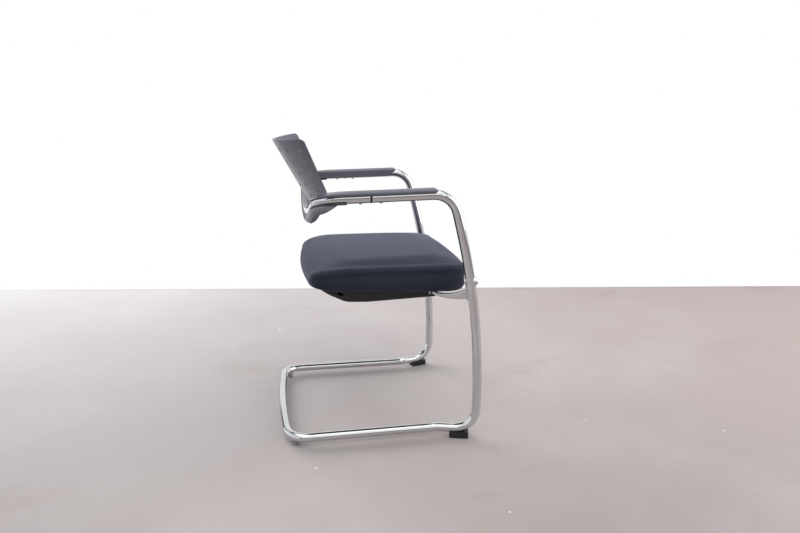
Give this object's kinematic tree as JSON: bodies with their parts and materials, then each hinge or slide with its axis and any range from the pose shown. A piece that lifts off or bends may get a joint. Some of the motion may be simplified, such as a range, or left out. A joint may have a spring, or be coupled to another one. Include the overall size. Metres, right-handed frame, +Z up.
{
  "type": "cantilever chair",
  "caption": "Cantilever visitor chair with a bent chrome tube frame, perforated grey plastic back, plastic arm pads and an upholstered seat.",
  "frame": {"origin": "on the floor under the middle of the chair's outline", "axes": "+Z up, -Y the way the chair faces, +X the sitter's left"},
  "size_m": [0.581, 0.54, 0.799],
  "materials": {
    "chrome": "mirror-bright plating",
    "back_plastic": "fine satin",
    "cover_plastic": "fine satin",
    "arm_plastic": "fine satin",
    "black_plastic": "fine grain",
    "seat_fabric": "woven, matt",
    "board_wood": "raw plywood",
    "stud_plastic": "fine satin",
    "steel": "zinc plated"
  },
  "bodies": {
    "root": {"frame_tube": "chrome", "back_bow_tube": "chrome", "arm_joint_ring_left": "black_plastic", "arm_joint_ring_right": "black_plastic", "arm_joint_spigot_left": "steel", "arm_joint_spigot_right": "steel", "arm_pad_left": "arm_plastic", "arm_pad_right": "arm_plastic", "arm_pad_screws_left": "steel", "arm_pad_screws_right": "steel", "back_shell": "back_plastic", "back_lower_cover": "cover_plastic", "back_shell_screws": "steel", "back_cover_screws": "steel", "seat_cushion": "seat_fabric", "seat_board": "board_wood", "seat_tee_nuts": "steel", "seat_cross_tube": "chrome", "seat_rail_left": "steel", "seat_rail_right": "steel", "seat_bolts": "steel", "seat_lower_cover": "black_plastic", "seat_cover_screws": "steel", "seat_bracket_left": "chrome", "seat_bracket_right": "chrome", "leg_bolt_left": "chrome", "leg_bolt_right": "chrome", "leg_washer_left": "chrome", "leg_washer_right": "chrome", "front_glide_left": "black_plastic", "front_glide_right": "black_plastic", "rear_glide_left": "stud_plastic", "rear_glide_right": "stud_plastic"}
  },
  "joints": []
}
